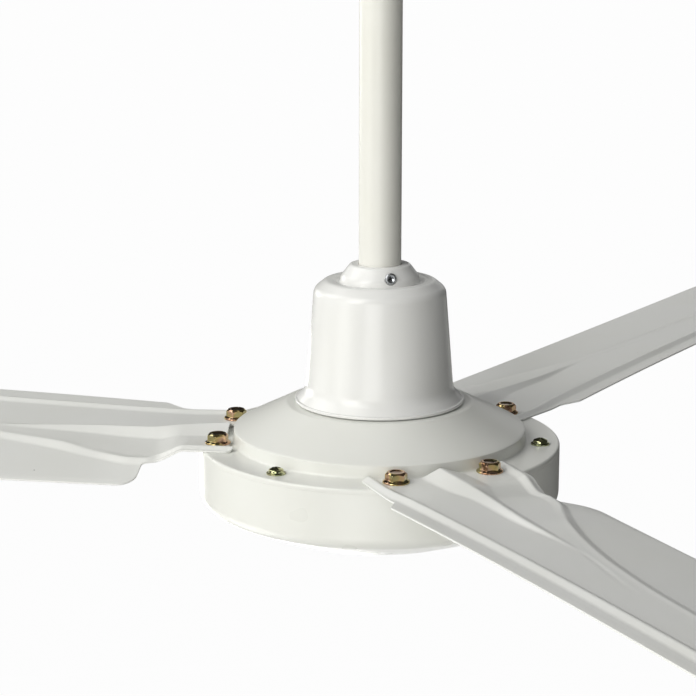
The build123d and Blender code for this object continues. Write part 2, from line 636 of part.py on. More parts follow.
def blade():
    """One blade, pointing along +X: the pressed sheet cut to its plan and drilled."""
    sheet = loft([sheet_section(reach) for reach in STATIONS], ruled=True)
    body = sheet & blade_outline()
    for side in (-1, 1):
        body -= Pos(BOLT_X, side * BOLT_Y, 0) * Cylinder(4.0 + 0.3, 40)
    return body


one_blade = blade()
for number, angle in enumerate(BLADE_ANGLES, start=1):
    parts["blade_%d" % number] = RIM * Rot(0, 0, angle) * one_blade

# Fasteners of the turning housing

BLADE_BOLT_FLANGE_R = 8.2
BLADE_BOLT_LENGTH = 12.6


def blade_bolt():
    """Flange bolt with a dished hexagon head."""
    flange = turned([(0, 0, 0), (BLADE_BOLT_FLANGE_R, 0, 0.3), (BLADE_BOLT_FLANGE_R, 1.0, 0.3),
                     (6.2, 2.2, 0.5), (0, 2.2, 0)])
    head = hexagon(12, 1.5, 6.6, 1.8)
    dish = turned([(0, 5.9, 0), (3.2, 5.9, 0), (4.6, 7, 0), (0, 7, 0)])
    return flange + head + rod(4.0, -BLADE_BOLT_LENGTH, 0) - dish


def cover_screw():
    """Pan-head screw with a pressed washer face and a cross recess."""
    head = turned([(0, 0, 0), (6.0, 0, 0.2), (6.0, 0.9, 0.3), (4.7, 1.2, 0.2), (4.5, 2.8, 1.0),
                   (2.0, 3.9, 1.0), (0, 3.9, 0)])
    head -= Pos(0, 0, 3.9) * (Box(5.0, 1.0, 2.6) + Box(1.0, 5.0, 2.6))
    return head + rod(2.5, -10.5, 0)


on_pad = Pos(0, 0, PAD_H)
parts["blade_bolts"] = RIM * group([place * on_pad * blade_bolt() for place in blade_bolt_places()])
parts["cover_screws"] = RIM * group([place * cover_screw() for place in cover_screw_places()])

os.makedirs("parts", exist_ok=True)
for name, shape in parts.items():
    export_step(shape, "parts/" + name + ".step")
print(len(parts), "nodes written; overall height", round(-(RIM_Z - 58.5), 1), "mm")
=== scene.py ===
import math

import bmesh
import bpy
import numpy as np
from mathutils import Matrix, Vector
from mathutils.geometry import delaunay_2d_cdt


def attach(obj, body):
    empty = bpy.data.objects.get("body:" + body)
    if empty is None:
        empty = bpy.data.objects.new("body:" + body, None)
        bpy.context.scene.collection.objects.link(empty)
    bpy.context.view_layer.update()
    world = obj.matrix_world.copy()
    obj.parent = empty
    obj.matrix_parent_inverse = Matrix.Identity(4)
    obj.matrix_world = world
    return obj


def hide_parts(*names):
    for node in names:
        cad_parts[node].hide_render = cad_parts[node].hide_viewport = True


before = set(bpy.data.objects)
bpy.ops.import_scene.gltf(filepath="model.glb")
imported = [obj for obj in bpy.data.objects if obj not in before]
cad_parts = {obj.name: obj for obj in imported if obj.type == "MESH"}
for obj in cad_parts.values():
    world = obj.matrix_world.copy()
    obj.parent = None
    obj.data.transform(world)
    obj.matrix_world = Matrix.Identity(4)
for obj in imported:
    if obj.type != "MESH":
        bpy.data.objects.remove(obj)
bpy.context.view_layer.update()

# Camera: the photograph was taken with a long lens from just above the motor's bell,
# a little to the right of the front and about 1.3 m away.


def put_in_scene(name, data):
    """A new object in the scene, at the origin."""
    made = bpy.data.objects.new(name, data)
    bpy.context.scene.collection.objects.link(made)
    return made


camera = put_in_scene("camera", bpy.data.cameras.new("camera"))
camera_right = Vector((0.990061, 0.140641, 0.000539))
camera_up = Vector((-0.032104, 0.222263, 0.974458))
camera_back = Vector((0.136928, -0.964790, 0.224569))
camera.matrix_world = Matrix((camera_right, camera_up, camera_back)).transposed().to_4x4()
camera.location = (0.1652, -1.3069, -0.05635)
camera.data.lens = 110.27
camera.data.sensor_width = 36
camera.data.clip_start = 0.05
camera.data.clip_end = 60
bpy.context.scene.camera = camera

# Studio: a white backdrop and a pale floor 1.8 m below the motor. A dark curtain all round and a dark
# roof, both unseen by the camera, keep the reflections dark on the side away from the soft boxes.
bpy.context.scene.view_settings.view_transform = "Standard"
white_seen = (0.985, 0.985, 0.985, 1)


def shows_background(nodes, links):
    """Is the ray one that shows the background: from the camera, off gloss or through glass?"""
    path = nodes.new("ShaderNodeLightPath")
    either = nodes.new("ShaderNodeMath")
    either.operation = "MAXIMUM"
    any_of = nodes.new("ShaderNodeMath")
    any_of.operation = "MAXIMUM"
    links.new(path.outputs["Is Camera Ray"], either.inputs[0])
    links.new(path.outputs["Is Glossy Ray"], either.inputs[1])
    links.new(either.outputs[0], any_of.inputs[0])
    links.new(path.outputs["Is Transmission Ray"], any_of.inputs[1])
    return any_of.outputs[0]


world = bpy.data.worlds.new("studio")
bpy.context.scene.world = world
world.use_nodes = True
nodes, links = world.node_tree.nodes, world.node_tree.links
nodes.clear()
backdrop = nodes.new("ShaderNodeBackground")
backdrop.inputs["Color"].default_value = white_seen
ambient = nodes.new("ShaderNodeBackground")
ambient.inputs["Color"].default_value = (0.97, 0.98, 1.0, 1)
ambient.inputs["Strength"].default_value = 0.29
which = nodes.new("ShaderNodeMixShader")
links.new(shows_background(nodes, links), which.inputs["Fac"])
links.new(ambient.outputs[0], which.inputs[1])
links.new(backdrop.outputs[0], which.inputs[2])
world_out = nodes.new("ShaderNodeOutputWorld")
links.new(which.outputs[0], world_out.inputs["Surface"])

motor_centre = Vector((0, 0, -0.42))
floor_z = motor_centre.z - 1.8
floor_mesh = bpy.data.meshes.new("studio_floor")
floor_half = 45
floor_mesh.from_pydata([(floor_half * x, floor_half * y, floor_z)
                        for x, y in ((-1, -1), (1, -1), (1, 1), (-1, 1))], [], [(0, 1, 2, 3)])
floor = put_in_scene("studio_floor", floor_mesh)
floor_paint = bpy.data.materials.new("pale_floor")
floor_paint.use_nodes = True
nodes, links = floor_paint.node_tree.nodes, floor_paint.node_tree.links
nodes["Principled BSDF"].inputs["Base Color"].default_value = (0.9, 0.9, 0.89, 1)
nodes["Principled BSDF"].inputs["Roughness"].default_value = 0.8
lit_white = nodes.new("ShaderNodeEmission")
lit_white.inputs["Color"].default_value = (1, 1, 1, 1)
mostly = nodes.new("ShaderNodeMath")
mostly.operation = "MULTIPLY"
mostly.inputs[1].default_value = 0.975
links.new(shows_background(nodes, links), mostly.inputs[0])
which = nodes.new("ShaderNodeMixShader")
links.new(mostly.outputs[0], which.inputs["Fac"])
links.new(nodes["Principled BSDF"].outputs[0], which.inputs[1])
links.new(lit_white.outputs[0], which.inputs[2])
from_below = nodes.new("ShaderNodeMixShader")
links.new(nodes.new("ShaderNodeNewGeometry").outputs["Backfacing"], from_below.inputs["Fac"])
links.new(which.outputs[0], from_below.inputs[1])
links.new(nodes.new("ShaderNodeBsdfTransparent").outputs[0], from_below.inputs[2])
links.new(from_below.outputs[0], nodes["Material Output"].inputs["Surface"])
floor_mesh.materials.append(floor_paint)

curtain_r, curtain_top = 4.2, 2.4
panels = 60
turns = [2 * math.pi * k / panels for k in range(panels)]
ring = [(curtain_r * math.cos(t), curtain_r * math.sin(t)) for t in turns]
curtain_mesh = bpy.data.meshes.new("studio_curtain")
curtain_mesh.from_pydata([(x, y, z) for z in (floor_z + 0.01, curtain_top) for x, y in ring], [],
                         [((k + 1) % panels, k, k + panels, (k + 1) % panels + panels)
                          for k in range(panels)])
curtain = put_in_scene("studio_curtain", curtain_mesh)
curtain_cloth = bpy.data.materials.new("dark_curtain")
curtain_cloth.use_nodes = True
cloth = curtain_cloth.node_tree.nodes["Principled BSDF"]
cloth.inputs["Base Color"].default_value = (0.12, 0.12, 0.115, 1)
cloth.inputs["Roughness"].default_value = 0.95
curtain_mesh.materials.append(curtain_cloth)
curtain.visible_camera = False

roof_mesh = bpy.data.meshes.new("studio_roof")
roof_mesh.from_pydata([(x, y, curtain_top) for x, y in ring], [], [tuple(range(panels - 1, -1, -1))])
roof = put_in_scene("studio_roof", roof_mesh)
roof_mesh.materials.append(curtain_cloth)
roof.visible_camera = False
roof.visible_diffuse = False
roof.visible_shadow = False


def soft_box(name, azimuth, elevation, distance, width, height, watts):
    """A soft box that faces the motor. Azimuth 0 is the camera's side and -90 its left."""
    around = math.atan2(camera.location.y, camera.location.x) + math.radians(azimuth)
    rise = math.radians(elevation)
    away = Vector((math.cos(around) * math.cos(rise), math.sin(around) * math.cos(rise),
                   math.sin(rise)))
    lamp = bpy.data.lights.new(name, "AREA")
    lamp.shape = "RECTANGLE"
    lamp.size, lamp.size_y = width, height
    lamp.energy = watts
    lamp.color = daylight
    lit = put_in_scene(name, lamp)
    lit.location = motor_centre + away * distance
    lit.rotation_euler = away.to_track_quat("Z", "Y").to_euler()
    lit.visible_camera = False


# Angles and places are given one by one; the watts are from a least-squares fit, rounded, of the lamps'
# sum to the brightness of the fan in the photograph.
daylight = (1.0, 0.995, 0.97)
for name, azimuth, elevation, distance, width, height, watts in (
        ("key_box", -45, 45, 3.0, 1.6, 1.6, 29.5), ("key_mid_box", -45, 22, 3.0, 1.4, 1.1, 23),
        ("left_box", -105, 38, 3.0, 1.6, 1.8, 20), ("eye_left_box", -60, 3, 3.0, 1.4, 1.1, 9.5),
        ("eye_front_box", -10, 3, 3.0, 1.4, 1.1, 17), ("side_box", -135, 6, 3.0, 1.2, 1.2, 12.5),
        ("low_front_box", -15, -22, 2.8, 1.2, 1.0, 9.5),
        ("under_left_box", -105, -48, 2.2, 1.6, 1.3, 15),
        ("back_low_box", -165, -20, 3.0, 1.4, 1.0, 26), ("back_right_box", 165, 10, 3.0, 1.2, 1.0, 2)):
    soft_box(name, azimuth, elevation, distance, width, height, watts)

# Hanger: a pressed plate that screws to the ceiling, a forged hook, and a grooved rubber roller held
# by two cranked straps. All the steel is bright zinc plated; bolts, nuts and split pins hold it.


def new_finish(name, metallic=0.0):
    """A new material, with its nodes, links and shader, and the piece's own coordinates."""
    material = bpy.data.materials.new(name)
    material.use_nodes = True
    nodes = material.node_tree.nodes
    shader = nodes["Principled BSDF"]
    shader.inputs["Metallic"].default_value = metallic
    where = nodes.new("ShaderNodeTexCoord").outputs["Object"]
    return material, nodes, material.node_tree.links, shader, where


def noise(nodes, links, where, scale, detail, distortion=0.0):
    """Cloudy noise over the piece's own coordinates."""
    cloud = nodes.new("ShaderNodeTexNoise")
    cloud.inputs["Scale"].default_value = scale
    cloud.inputs["Detail"].default_value = detail
    cloud.inputs["Distortion"].default_value = distortion
    links.new(where, cloud.inputs["Vector"])
    return cloud.outputs["Fac"]


def shades_of(nodes, links, amount, first, last, *between):
    """Turns an amount into colour: each stop is a place from 0 to 1 and its colour."""
    shades = nodes.new("ShaderNodeValToRGB")
    for stop, (place, colour) in zip(shades.color_ramp.elements, (first, last)):
        stop.position, stop.color = place, (*colour, 1)
    for place, colour in between:
        shades.color_ramp.elements.new(place).color = (*colour, 1)
    links.new(amount, shades.inputs["Fac"])
    return shades.outputs["Color"]


def vary_gloss(nodes, links, amount, low, high, shader):
    """Lets the roughness wander between two values."""
    gloss = nodes.new("ShaderNodeMapRange")
    gloss.inputs["To Min"].default_value = low
    gloss.inputs["To Max"].default_value = high
    links.new(amount, gloss.inputs["Value"])
    links.new(gloss.outputs["Result"], shader.inputs["Roughness"])


def grain(nodes, links, amount, strength, depth, shader):
    """A fine relief in the surface."""
    bump = nodes.new("ShaderNodeBump")
    bump.inputs["Strength"].default_value = strength
    bump.inputs["Distance"].default_value = depth
    links.new(amount, bump.inputs["Height"])
    links.new(bump.outputs["Normal"], shader.inputs["Normal"])


def paint_recess_shade(nodes, links, colour, shader, depth):
    """Darkens the plating in a screw's recess or a bolt's dish with painted shade, for the shadow and
    dark reflection that fall there.
    """
    recess_shade = nodes.new("ShaderNodeAttribute")
    recess_shade.attribute_name = "recess_shade"
    amount = nodes.new("ShaderNodeMath")
    amount.operation = "MULTIPLY"
    amount.inputs[1].default_value = depth
    links.new(recess_shade.outputs["Fac"], amount.inputs[0])
    # Painted shade: a near-black colour mixed in on the faces marked as recess.
    shade_mix = nodes.new("ShaderNodeMix")
    shade_mix.data_type = "RGBA"
    shade_mix.inputs["B"].default_value = (0.012, 0.010, 0.007, 1)
    links.new(amount.outputs[0], shade_mix.inputs["Factor"])
    links.new(colour, shade_mix.inputs["A"])
    links.new(shade_mix.outputs["Result"], shader.inputs["Base Color"])


def clouded_metal(name, colour, dark, low, high):
    """Plated, ground or cast metal: clouded colour, uneven gloss and a fine grain."""
    material, nodes, links, shader, where = new_finish(name, 1.0)
    cloud = noise(nodes, links, where, 95, 4)
    tones = shades_of(nodes, links, cloud, (0.32, dark), (0.62, colour))
    # Faces marked as recess, such as the set screws' cross recesses, get painted shade.
    paint_recess_shade(nodes, links, tones, shader, 0.9)
    fine = noise(nodes, links, where, 900, 3)
    vary_gloss(nodes, links, fine, low, high, shader)
    grain(nodes, links, fine, 0.2, 0.0001, shader)
    return material


def moulded(name, colour, roughness, grain_size, bump_depth):
    """Moulded plastic, rubber or a rough casting: slight colour drift and a grained surface."""
    material, nodes, links, shader, where = new_finish(name)
    fine = noise(nodes, links, where, grain_size, 5)
    dull = [0.8 * c for c in colour]
    links.new(shades_of(nodes, links, fine, (0.3, dull), (0.65, colour)), shader.inputs["Base Color"])
    vary_gloss(nodes, links, fine, roughness * 0.85, min(1, roughness * 1.2), shader)
    grain(nodes, links, fine, 0.5, bump_depth, shader)
    return material


def finish_solids(material, *names):
    """Gives solids that are kept from the frame the finish of the real pieces."""
    for name in names:
        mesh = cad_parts[name].data
        mesh.materials.clear()
        mesh.materials.append(material)


zinc_bright = clouded_metal("bright_zinc", (0.60, 0.62, 0.65), (0.40, 0.42, 0.44), 0.22, 0.42)
roller_rubber = moulded("roller_rubber", (0.045, 0.045, 0.045), 0.75, 500, 0.0002)
finish_solids(zinc_bright, "hanger_plate", "hanger_hook", "hook_nut", "shackle_plates", "roller_bolt",
              "roller_nut", "roller_split_pin", "rod_top_bolt", "rod_top_nut", "rod_top_split_pin")
finish_solids(roller_rubber, "hanger_roller")

# Downrod: 3/4 inch nominal steel tube, 26.7 mm outside, sprayed with a cream-white satin enamel
# that has picked up a few dark specks. A bolt crosses it near each end.
MM = 0.001
rim_z = -0.419
rod_r, rod_bore_r = 13.35, 10.45


def rounded(corners, closed=True, step=math.radians(9)):
    """Points and outward normals of an outline whose (x, y, radius) corners are rounded."""
    spots = np.array([corner[:2] for corner in corners], float)
    area = sum(a[0] * b[1] - b[0] * a[1] for a, b in zip(spots, np.roll(spots, -1, 0)))
    hand = 1 if area > 0 else -1
    points, normals = [], []
    for i, (x, y, radius) in enumerate(corners):
        here = spots[i]
        before, after = spots[i - 1], spots[(i + 1) % len(spots)]
        into, out = here - before, after - here
        in_length, out_length = np.hypot(*into), np.hypot(*out)
        into, out = into / in_length, out / out_length
        normal_in = hand * np.array((into[1], -into[0]))
        normal_out = hand * np.array((out[1], -out[0]))
        if not closed and i in (0, len(corners) - 1):
            points.append(here)
            normals.append(normal_out if i == 0 else normal_in)
            continue
        turn = math.atan2(into[0] * out[1] - into[1] * out[0], into @ out)
        reach = min(radius * math.tan(abs(turn) / 2), 0.499 * min(in_length, out_length))
        radius = reach / max(math.tan(abs(turn) / 2), 1e-9)
        bulge = 1 if turn * hand > 0 else -1
        centre = here - into * reach - bulge * normal_in * radius
        count = max(2, math.ceil(abs(turn) / step))
        for k in range(count + 1):
            angle = turn * k / count
            c, s = math.cos(angle), math.sin(angle)
            normal = np.array((c * normal_in[0] - s * normal_in[1],
                               s * normal_in[0] + c * normal_in[1]))
            points.append(centre + bulge * normal * radius)
            normals.append(normal)
    return np.array(points), np.array(normals)


def lathe(name, corners, segments, base_z=rim_z, closed=True, flip=False):
    """A turned piece from (radius, height, fillet) corners in mm, with exact normals."""
    outline, outward = rounded(corners, closed)
    if flip:
        outline[:, 1] *= -1
        outward[:, 1] *= -1
    turns = np.arange(segments) * 2 * math.pi / segments
    cosines, sines = np.cos(turns), np.sin(turns)
    on_axis = outline[:, 0] < 1e-6
    verts, rows, bends = [], [], []
    for (r, h), (nr, nh), axial in zip(outline, outward, on_axis):
        z = base_z + h * MM
        if axial:
            rows.append([len(verts)] * segments)
            verts.append((0, 0, z))
            bends.append((0, 0, math.copysign(1, nh)))
            continue
        rows.append(list(range(len(verts), len(verts) + segments)))
        verts.extend((r * MM * c, r * MM * s, z) for c, s in zip(cosines, sines))
        bends.extend((nr * c, nr * s, nh) for c, s in zip(cosines, sines))
    faces = []
    pairs = list(zip(rows, rows[1:]))
    if closed:
        pairs.append((rows[-1], rows[0]))
    for low_row, high_row in pairs:
        for k in range(segments):
            n = (k + 1) % segments
            face = [low_row[k], low_row[n], high_row[n], high_row[k]]
            face = [v for j, v in enumerate(face) if v != face[j - 1]]
            if len(face) > 2:
                faces.append(face)
    mesh = bpy.data.meshes.new(name)
    mesh.from_pydata(verts, [], faces)
    one = mesh.polygons[0]
    if one.normal.dot(Vector(bends[one.vertices[0]])) < 0:
        mesh.flip_normals()
    mesh.shade_smooth()
    mesh.normals_split_custom_set_from_vertices(bends)
    piece = put_in_scene(name, mesh)
    return piece


def enamel(name, colour, roughness, peel, speck):
    """Sprayed enamel: faint colour drift, orange peel in the gloss, and a few dark specks."""
    material, nodes, links, shader, where = new_finish(name)
    drift = noise(nodes, links, where, 14, 3)
    yellowed = (0.978 * colour[0], 0.978 * colour[1], 0.965 * colour[2])
    tint = shades_of(nodes, links, drift, (0.35, yellowed), (0.62, colour))
    dots = nodes.new("ShaderNodeTexVoronoi")
    dots.inputs["Scale"].default_value = 62
    links.new(where, dots.inputs["Vector"])
    chosen = nodes.new("ShaderNodeSeparateColor")
    links.new(dots.outputs["Color"], chosen.inputs[0])
    both = nodes.new("ShaderNodeMath")
    both.operation = "MULTIPLY"
    for slot, (value, limit) in enumerate(((dots.outputs["Distance"], 0.028),
                                           (chosen.outputs[0], speck))):
        below = nodes.new("ShaderNodeMath")
        below.operation = "LESS_THAN"
        below.inputs[1].default_value = limit
        links.new(value, below.inputs[0])
        links.new(below.outputs[0], both.inputs[slot])
    mark = nodes.new("ShaderNodeMix")
    mark.data_type = "RGBA"
    mark.inputs["B"].default_value = (0.07, 0.06, 0.05, 1)
    links.new(both.outputs[0], mark.inputs["Factor"])
    links.new(tint, mark.inputs["A"])
    links.new(mark.outputs["Result"], shader.inputs["Base Color"])
    vary_gloss(nodes, links, drift, roughness * 0.85, roughness * 1.2, shader)
    grain(nodes, links, noise(nodes, links, where, 420, 1.5), peel, 0.0004, shader)
    return material


rod_length = 305.0
rod_low = 58.0
rod_paint = enamel("rod_enamel", (0.84, 0.835, 0.78), 0.33, 0.10, 0.10)
rod = lathe("rod_tube", [
    (rod_bore_r, rod_low, 0.3), (rod_r, rod_low, 0.4), (rod_r, rod_low + rod_length, 0.4),
    (rod_bore_r, rod_low + rod_length, 0.3)], 96)
rod.data.materials.append(rod_paint)
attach(rod, "hanging")
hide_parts("downrod")

# Canopies: one glossy white ABS moulding, upright over the motor and inverted at the ceiling.
# It has a rolled foot, a slight draft, a domed shoulder and a collar that a screw pinches.
foot_h, collar_top = 25.5, 113.8
bead_r, bead_centre_r = 1.1, 52.8
bore_r = rod_r + 0.35
screw_h, screw_angle, screw_seat = 108.3, math.radians(-66.5), 22.6
ceiling_gap = -5.0
bead_in, bead_out = bead_centre_r - bead_r, bead_centre_r + bead_r
canopy_corners = [
    (bead_in, foot_h, bead_r), (bead_out, foot_h, bead_r), (bead_out, foot_h + 2 * bead_r, bead_r),
    (bead_centre_r - 0.5, foot_h + 2 * bead_r, 0.35), (46.9, 34.0, 11), (41.7, 98.0, 6.5),
    (34.6, 103.7, 5), (29.5, 103.7, 3), (26.9, 101.9, 1.2), (25.4, 102.2, 0.6), (24.5, 106.4, 5),
    (18.8, collar_top, 2.5),
    (bore_r, collar_top, 0.6), (bore_r, 99.7, 0.6), (27.5, 99.7, 2), (30.0, 101.4, 2),
    (33.8, 101.4, 3), (39.6, 96.4, 4.5), (44.7, 33.2, 9), (bead_in - 0.2, foot_h + 1.0, 0.3)]

gloss_plastic = enamel("canopy_gloss_plastic", (0.85, 0.85, 0.835), 0.24, 0.03, 0.05)


def keep_result(piece):
    """Makes what the piece's modifiers give its plain mesh."""
    evaluated = piece.evaluated_get(bpy.context.evaluated_depsgraph_get())
    piece.data = bpy.data.meshes.new_from_object(evaluated)
    piece.modifiers.clear()


def cut_away(piece, cutter, crosses_itself=False):
    """Subtracts the cutter from the piece and removes the cutter."""
    cut = piece.modifiers.new("cut", "BOOLEAN")
    cut.operation = "DIFFERENCE"
    cut.solver = "EXACT"
    cut.use_self = crosses_itself
    cut.object = cutter
    keep_result(piece)
    bpy.data.objects.remove(cutter)


def cut_screw_seat(bell, seat_z, angle):
    """Sinks the flat round seat of the set screw into the collar."""
    seat_r, seat_reach = 0.0042, 0.010
    place = Matrix.Rotation(angle, 4, "Z") @ Matrix.Translation((screw_seat * MM, 0, seat_z))
    place = place @ Matrix.Rotation(math.pi / 2, 4, "Y")
    cutter_mesh = bpy.data.meshes.new("seat_cutter")
    bm = bmesh.new()
    bmesh.ops.create_cone(bm, cap_ends=True, segments=48, radius1=seat_r, radius2=seat_r,
                          depth=seat_reach, matrix=place @ Matrix.Translation((0, 0, seat_reach / 2)))
    bm.to_mesh(cutter_mesh)
    bm.free()
    cutter = put_in_scene("seat_cutter", cutter_mesh)
    cut_away(bell, cutter)


def outline_normals(mesh, corners, base_z, flip):
    """Gives a turned mesh the exact normals of its outline, and flat ones where it was cut.

    Returns 1 for each face that a cut made, and otherwise 0.
    """
    outline, outward = rounded(corners)
    if flip:
        outline[:, 1] *= -1
        outward[:, 1] *= -1
    ends = np.roll(outline, -1, 0)
    end_normals = np.roll(outward, -1, 0)
    spans = ends - outline
    squares = np.maximum((spans ** 2).sum(1), 1e-12)
    normals, cut_faces = [], []
    for face in mesh.polygons:
        flat = np.array(face.normal)
        cut_faces.append(1.0)
        for index in face.vertices:
            x, y, z = mesh.vertices[index].co
            r = math.hypot(x, y)
            if r == 0:
                normals.append(flat)
                continue
            spot = np.array((r / MM, (z - base_z) / MM))
            share = np.clip(((spot - outline) * spans).sum(1) / squares, 0, 1)
            gap = np.hypot(*(outline + spans * share[:, None] - spot).T)
            best = int(np.argmin(gap))
            nr, nh = outward[best] * (1 - share[best]) + end_normals[best] * share[best]
            smooth = np.array((nr * x / r, nr * y / r, nh))
            smooth /= np.linalg.norm(smooth)
            same = gap[best] < 0.02 and smooth @ flat > 0.8
            normals.append(smooth if same else flat)
            if same:
                cut_faces[-1] = 0.0
    mesh.shade_smooth()
    mesh.normals_split_custom_set([Vector(n) for n in normals])
    return cut_faces


ceiling_rim_z = (ceiling_gap + foot_h) * MM
for name, base_z, flip, body in (("bell_over_motor", rim_z, False, "motor_canopy"),
                                 ("bell_at_ceiling", ceiling_rim_z, True, "ceiling_canopy")):
    bell = lathe(name, canopy_corners, 160, base_z, flip=flip)
    toward = -1 if flip else 1
    cut_screw_seat(bell, base_z + toward * screw_h * MM, toward * screw_angle)
    outline_normals(bell.data, canopy_corners, base_z, flip)
    bell.data.materials.clear()
    bell.data.materials.append(gloss_plastic)
    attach(bell, body)
    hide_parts(body)

# Set screws of the two canopies: bright zinc pan heads with a cross recess, sunk in the collar's
# round seat, whose ends bear on the rod.


def cross_cutter(name, width, length, depth, top):
    """Two crossed bars that narrow downwards, as a cross driver's tip does."""
    bm = bmesh.new()
    for quarter in (0, math.pi / 2):
        spin = Matrix.Rotation(quarter, 4, "Z")
        corners = []
        for z, share in ((top - depth, 0.45), (top + 1, 1.1)):
            half_l, half_w = length / 2 * share, width / 2 * (0.7 + 0.3 * share)
            corners.append([bm.verts.new(spin @ Vector((x * MM, y * MM, z * MM)))
                            for x, y in ((-half_l, -half_w), (half_l, -half_w), (half_l, half_w),
                                         (-half_l, half_w))])
        low_ring, high_ring = corners
        bm.faces.new(low_ring[::-1])
        bm.faces.new(high_ring)
        for k in range(4):
            n = (k + 1) % 4
            bm.faces.new((low_ring[k], low_ring[n], high_ring[n], high_ring[k]))
    mesh = bpy.data.meshes.new(name)
    bm.to_mesh(mesh)
    bm.free()
    cutter = put_in_scene(name, mesh)
    return cutter


def pan_head_screw(name, corners, recess):
    """A turned screw standing on z = 0 with a cross recess in its head."""
    screw = lathe(name, corners, 48, 0.0, closed=False)
    cutter = cross_cutter(name + "_cutter", *recess)
    cut_away(screw, cutter, crosses_itself=True)
    cut_faces = outline_normals(screw.data, corners, 0.0, False)
    # The faces that the recess cut made are marked for painted shade.
    screw.data.attributes.new("recess_shade", "FLOAT", "FACE").data.foreach_set("value", cut_faces)
    return screw


for name, base_z, toward, body, node in (
        ("motor_bell_screw", rim_z, 1, "motor_canopy", "motor_canopy_screw"),
        ("ceiling_bell_screw", ceiling_rim_z, -1, "ceiling_canopy", "ceiling_canopy_screw")):
    screw = pan_head_screw(name, [
        (0, rod_r - screw_seat, 0), (2.0, rod_r - screw_seat, 0.3), (2.0, 0, 0.05), (3.5, 0, 0.2),
        (3.5, 1.8, 0.6), (2.7, 2.3, 0.4), (2.2, 2.2, 0.2), (0.9, 1.1, 0.3), (0, 1.1, 0)],
        (1.1, 4.6, 1.9, 2.3))
    lay = Matrix.Rotation(toward * screw_angle, 4, "Z")
    lay = lay @ Matrix.Translation((screw_seat * MM, 0, base_z + toward * screw_h * MM))
    lay = lay @ Matrix.Rotation(math.pi / 2, 4, "Y") @ Matrix.Rotation(math.radians(28), 4, "Z")
    screw.data.transform(lay)
    screw.data.materials.clear()
    screw.data.materials.append(zinc_bright)
    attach(screw, body)
    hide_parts(node)

# Coupling and electrics, hidden under the lower bell: a cast iron socket that joins rod and shaft with
# a bolt and pins, a capacitor in its spring clip, and a plastic terminal block for the supply.
coupling_iron = moulded("coupling_iron", (0.13, 0.13, 0.14), 0.55, 260, 0.0004)
capacitor_case = moulded("capacitor_case", (0.07, 0.075, 0.09), 0.35, 600, 0.0001)
terminal_plastic = moulded("terminal_plastic", (0.78, 0.75, 0.66), 0.5, 450, 0.0001)
finish_solids(coupling_iron, "rod_coupling")
finish_solids(capacitor_case, "capacitor")
finish_solids(terminal_plastic, "terminal_block")
finish_solids(zinc_bright, "coupling_bolt", "coupling_nut", "coupling_split_pin", "coupling_set_screws",
              "shaft_pin", "capacitor_clip")

# Inside the motor: the still stator on its ground shaft, two ball bearings with brass cages, and the
# rotor's core and cast cage that turn with the housing. The cores are stacks of steel laminations.


def banded(name, colour, dark, along, pitch, metallic, roughness):
    """Laminations along Z or turns wound round it: fine bands with dark joints."""
    material, nodes, links, shader, where = new_finish(name, metallic)
    shader.inputs["Roughness"].default_value = roughness
    bands = nodes.new("ShaderNodeTexWave")
    bands.wave_type = along
    bands.bands_direction = "Z"
    bands.rings_direction = "Z"
    bands.inputs["Scale"].default_value = 0.314 / pitch
    bands.inputs["Distortion"].default_value = 0.4
    links.new(where, bands.inputs["Vector"])
    shades = shades_of(nodes, links, bands.outputs["Fac"], (0, dark), (0.45, colour))
    links.new(shades, shader.inputs["Base Color"])
    grain(nodes, links, bands.outputs["Fac"], 0.6, pitch * 0.3, shader)
    return material


ground_steel = clouded_metal("ground_steel", (0.62, 0.62, 0.62), (0.50, 0.50, 0.51), 0.12, 0.28)
cage_brass = clouded_metal("cage_brass", (0.74, 0.56, 0.26), (0.52, 0.38, 0.16), 0.22, 0.4)
cast_aluminium = clouded_metal("cast_aluminium", (0.66, 0.67, 0.68), (0.50, 0.51, 0.52), 0.4, 0.6)
core_steel = banded("core_steel", (0.30, 0.30, 0.32), (0.08, 0.07, 0.07), "BANDS", 0.0005, 0.8, 0.45)
winding_copper = banded("winding_copper", (0.60, 0.26, 0.10), (0.20, 0.07, 0.03), "RINGS", 0.0006,
                        0.6, 0.35)
finish_solids(ground_steel, "motor_shaft")
for bearing in ("upper_bearing_", "lower_bearing_"):
    finish_solids(ground_steel, bearing + "inner_ring", bearing + "outer_ring", bearing + "balls")
    finish_solids(cage_brass, bearing + "cage")
finish_solids(zinc_bright, "shaft_circlip", "wave_washer")
finish_solids(cast_aluminium, "stator_hub", "rotor_cage")
finish_solids(core_steel, "stator_core", "rotor_core")
finish_solids(winding_copper, "stator_winding")

# Motor housing: two castings in the same off-white enamel, which meet in a fine seam under the rim.
# The upper one is a flat crown under the bell, a long cone, a stepped ledge and the bolting rim.
drum_r, ledge_r, ledge_h, seam_h = 115.0, 92.9, 7.9, -3.2
bearing_r = 20.05
housing_paint = enamel("housing_enamel", (0.82, 0.825, 0.785), 0.28, 0.08, 0.06)
upper = lathe("upper_cover_casting", [
    (14.5, 27.4, 0.2), (14.5, 30.2, 0.8), (24.6, 30.2, 1.2), (25.4, 25.0, 1.5), (59.2, 25.0, 5.0),
    (ledge_r - 1.1, ledge_h + 0.8, 0.6), (ledge_r, ledge_h, 0.5), (ledge_r + 0.5, 0, 1.6),
    (drum_r - 0.1, 0, 2.0), (drum_r, seam_h, 0.12), (90.2, seam_h, 1), (89.4, 6.4, 1), (60.0, 21.5, 8),
    (25.4, 21.5, 2), (24.6, 13.5, 1), (bearing_r, 13.5, 0.5), (bearing_r, 27.4, 0.2)], 224)
upper.data.materials.append(housing_paint)
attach(upper, "rotor")
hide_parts("upper_cover")

